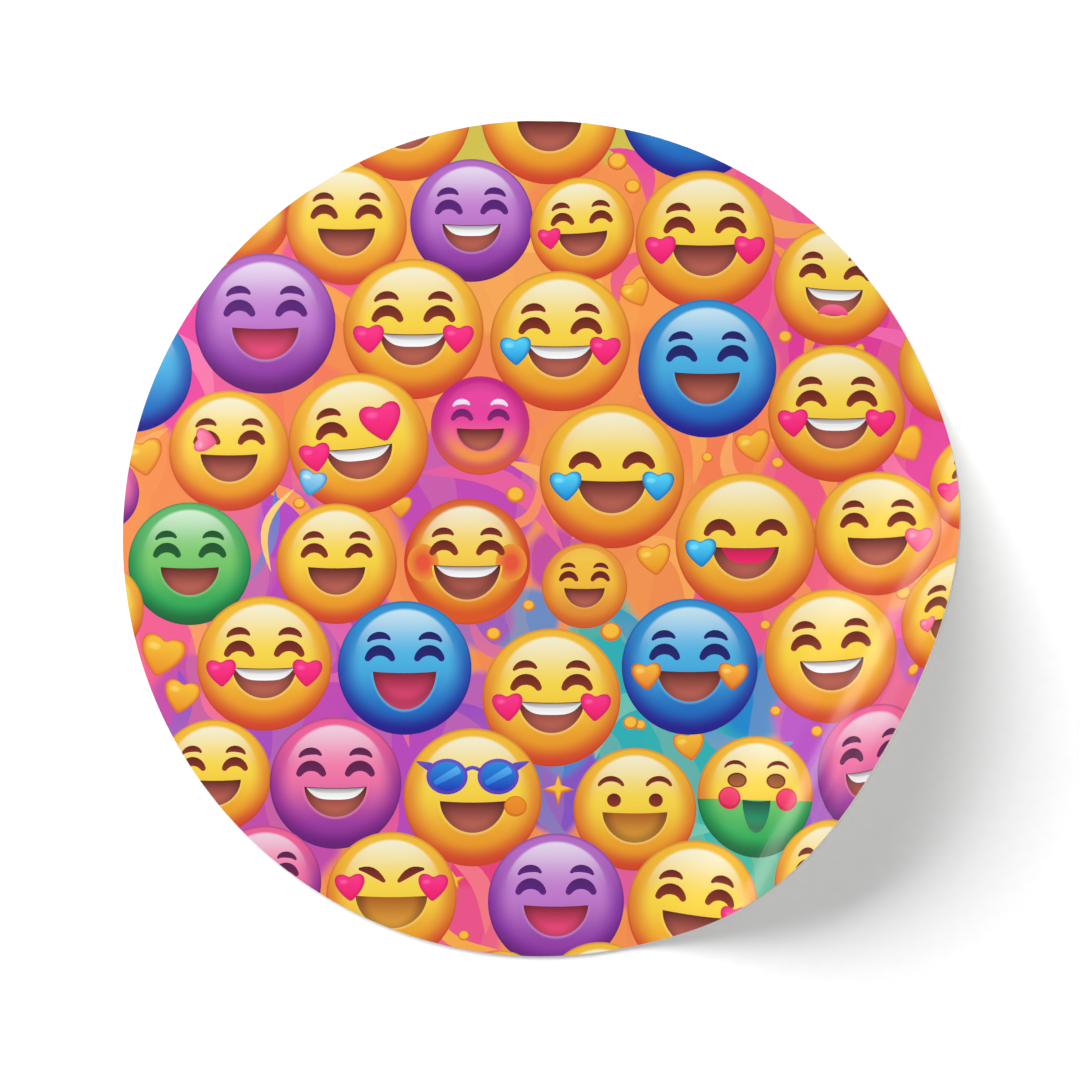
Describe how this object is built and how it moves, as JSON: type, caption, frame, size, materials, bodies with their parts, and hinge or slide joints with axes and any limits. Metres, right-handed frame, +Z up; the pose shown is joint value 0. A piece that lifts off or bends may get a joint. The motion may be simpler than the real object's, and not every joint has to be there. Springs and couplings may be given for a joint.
{
  "type": "round sticker",
  "caption": "Round gloss vinyl sticker printed all over with smiling balls, on a split paper liner, lying flat with one edge curled up; it peels off its main liner.",
  "frame": {"origin": "centre of the disc, on the underside of the liner, which lies on the surface", "axes": "+Z up out of the printed face, +Y the print's upright direction, +X to the print's right; the edge that curls up lies 27 degrees clockwise of +X"},
  "size_m": [0.0753, 0.0762, 0.0085],
  "materials": {
    "gloss_laminate": "clear high-gloss film",
    "printed_film": "white vinyl with a full-colour print under a gloss film",
    "adhesive": "clear tacky coat, glossy",
    "liner_paper": "smooth silicone-coated paper"
  },
  "bodies": {
    "backing": {"liner_main": "liner_paper", "adhesive_stuck_end": "adhesive", "film_stuck_end": "printed_film", "laminate_stuck_end": "gloss_laminate"},
    "peel_strip_1": {"adhesive_peel_1": "adhesive", "film_peel_1": "printed_film", "laminate_peel_1": "gloss_laminate"},
    "peel_strip_2": {"adhesive_peel_2": "adhesive", "film_peel_2": "printed_film", "laminate_peel_2": "gloss_laminate"},
    "sticker": {"adhesive_flat": "adhesive", "film_flat": "printed_film", "laminate_flat": "gloss_laminate", "liner_tab_flat": "liner_paper"},
    "curl_strip_1": {"liner_tab_curl_1": "liner_paper", "adhesive_curl_1": "adhesive", "film_curl_1": "printed_film", "laminate_curl_1": "gloss_laminate"},
    "curl_strip_2": {"liner_tab_curl_2": "liner_paper", "adhesive_curl_2": "adhesive", "film_curl_2": "printed_film", "laminate_curl_2": "gloss_laminate"},
    "curl_strip_3": {"liner_tab_curl_3": "liner_paper", "adhesive_curl_3": "adhesive", "film_curl_3": "printed_film", "laminate_curl_3": "gloss_laminate"},
    "curl_strip_4": {"liner_tab_curl_4": "liner_paper", "adhesive_curl_4": "adhesive", "film_curl_4": "printed_film", "laminate_curl_4": "gloss_laminate"},
    "curl_strip_5": {"liner_tab_curl_5": "liner_paper", "adhesive_curl_5": "adhesive", "film_curl_5": "printed_film", "laminate_curl_5": "gloss_laminate"},
    "curl_strip_6": {"liner_tab_curl_6": "liner_paper", "adhesive_curl_6": "adhesive", "film_curl_6": "printed_film", "laminate_curl_6": "gloss_laminate"}
  },
  "joints": [
    {"name": "peel_1", "type": "hinge", "parent": "backing", "child": "peel_strip_1", "pos_m": [-0.03123, 0.01591, 0.00017], "axis": [-0.454, -0.891, 0], "range_deg": [0, 24]},
    {"name": "peel_2", "type": "hinge", "parent": "peel_strip_1", "child": "peel_strip_2", "pos_m": [-0.02856, 0.01455, 0.00017], "axis": [-0.454, -0.891, 0], "range_deg": [0, 24]},
    {"name": "peel_3", "type": "hinge", "parent": "peel_strip_2", "child": "sticker", "pos_m": [-0.02589, 0.01319, 0.00017], "axis": [-0.454, -0.891, 0], "range_deg": [0, 24]},
    {"name": "curl_1", "type": "hinge", "parent": "sticker", "child": "curl_strip_1", "pos_m": [0.02071, -0.01055, 0.00012], "axis": [-0.454, -0.891, 0], "range_deg": [-6.21, 4], "stiffness_Nm_per_rad": 0.01},
    {"name": "curl_2", "type": "hinge", "parent": "curl_strip_1", "child": "curl_strip_2", "pos_m": [0.0229, -0.01167, 0.00039], "axis": [-0.454, -0.891, 0], "range_deg": [-12.42, 8.01]},
    {"name": "curl_3", "type": "hinge", "parent": "curl_strip_2", "child": "curl_strip_3", "pos_m": [0.02498, -0.01273, 0.00118], "axis": [-0.454, -0.891, 0], "range_deg": [-12.42, 8.01]},
    {"name": "curl_4", "type": "hinge", "parent": "curl_strip_3", "child": "curl_strip_4", "pos_m": [0.02687, -0.01369, 0.00245], "axis": [-0.454, -0.891, 0], "range_deg": [-12.42, 8.01]},
    {"name": "curl_5", "type": "hinge", "parent": "curl_strip_4", "child": "curl_strip_5", "pos_m": [0.02847, -0.01451, 0.00415], "axis": [-0.454, -0.891, 0], "range_deg": [-12.42, 8.01]},
    {"name": "curl_6", "type": "hinge", "parent": "curl_strip_5", "child": "curl_strip_6", "pos_m": [0.02971, -0.01514, 0.0062], "axis": [-0.454, -0.891, 0], "range_deg": [-12.42, 8.01]}
  ],
  "couplings": [
    {"joint": "peel_2", "follows": "peel_1", "ratio": 1},
    {"joint": "peel_3", "follows": "peel_1", "ratio": 1},
    {"joint": "curl_2", "follows": "curl_1", "ratio": 2},
    {"joint": "curl_3", "follows": "curl_1", "ratio": 2},
    {"joint": "curl_4", "follows": "curl_1", "ratio": 2},
    {"joint": "curl_5", "follows": "curl_1", "ratio": 2},
    {"joint": "curl_6", "follows": "curl_1", "ratio": 2}
  ]
}
